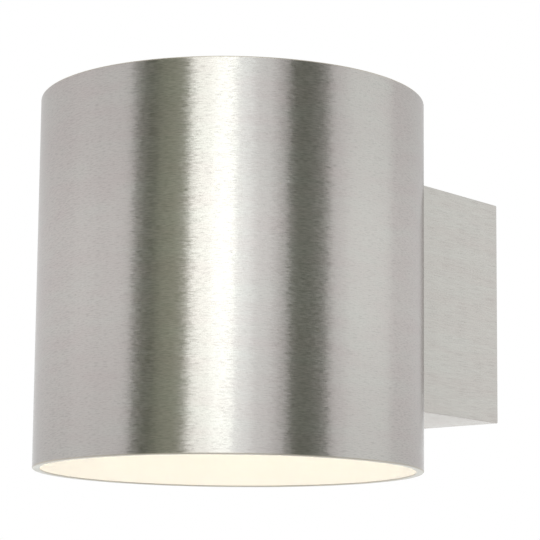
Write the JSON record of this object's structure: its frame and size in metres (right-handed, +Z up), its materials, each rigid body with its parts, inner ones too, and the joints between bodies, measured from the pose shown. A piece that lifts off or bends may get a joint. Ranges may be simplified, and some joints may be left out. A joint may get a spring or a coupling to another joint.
{
  "type": "wall light",
  "caption": "Wall light: a short brushed aluminium tube, open above and below and white inside, on a square box, with a two-pin capsule lamp across the tube.",
  "frame": {"origin": "on the wall, at the middle of the bracket's back face, behind the middle of the box", "axes": "+Y into the wall, +Z up, +X to the right as seen from the room"},
  "size_m": [0.1, 0.128, 0.096],
  "materials": {
    "brushed_aluminium": "satin, brushed round the tube; the bore is painted matt white",
    "brushed_box": "satin, finely brushed",
    "plated_steel": "bright zinc plate",
    "zinc_sheet": "zinc plated sheet",
    "grey_rubber": "matt",
    "tinned_brass": "tinned, bright",
    "brass_plated": "bright",
    "brass": "bright",
    "white_plastic": "fine matt",
    "white_rubber": "matt silicone",
    "ceramic": "unglazed steatite, off-white",
    "spring_metal": "nickel plated spring strip",
    "brown_insulation": "soft sheen",
    "blue_insulation": "soft sheen",
    "green_yellow_insulation": "soft sheen, green and yellow",
    "woven_sleeve": "woven glass-fibre sleeve",
    "clear_glass": "clear",
    "lamp_metal": "drawn wire",
    "filament_wire": "coiled tungsten"
  },
  "bodies": {
    "fitting": {"tube_shade": "brushed_aluminium", "wall_box": "brushed_box", "box_screws": "plated_steel", "wall_bracket": "zinc_sheet", "cable_grommet": "grey_rubber", "earth_washer": "plated_steel", "earth_lug": "tinned_brass", "earth_screw": "brass_plated", "terminal_block": "white_plastic", "terminal_inserts": "brass", "terminal_screws": "plated_steel", "block_screws": "plated_steel", "tube_screws": "plated_steel", "tube_washers": "plated_steel", "tube_nuts": "plated_steel", "wire_bush": "white_rubber", "lamp_bracket": "zinc_sheet", "holder_body": "ceramic", "holder_contacts": "spring_metal", "holder_screws": "plated_steel", "live_wire": "brown_insulation", "neutral_wire": "blue_insulation", "earth_wire": "green_yellow_insulation", "heat_sleeves": "woven_sleeve"},
    "lamp": {"lamp_glass": "clear_glass", "lamp_pins": "lamp_metal", "lamp_filament": "filament_wire", "lamp_supports": "lamp_metal"}
  },
  "joints": [
    {"name": "lamp_pull", "type": "slide", "parent": "fitting", "child": "lamp", "axis": [0, -1, 0], "range_m": [0, 0.015]}
  ]
}
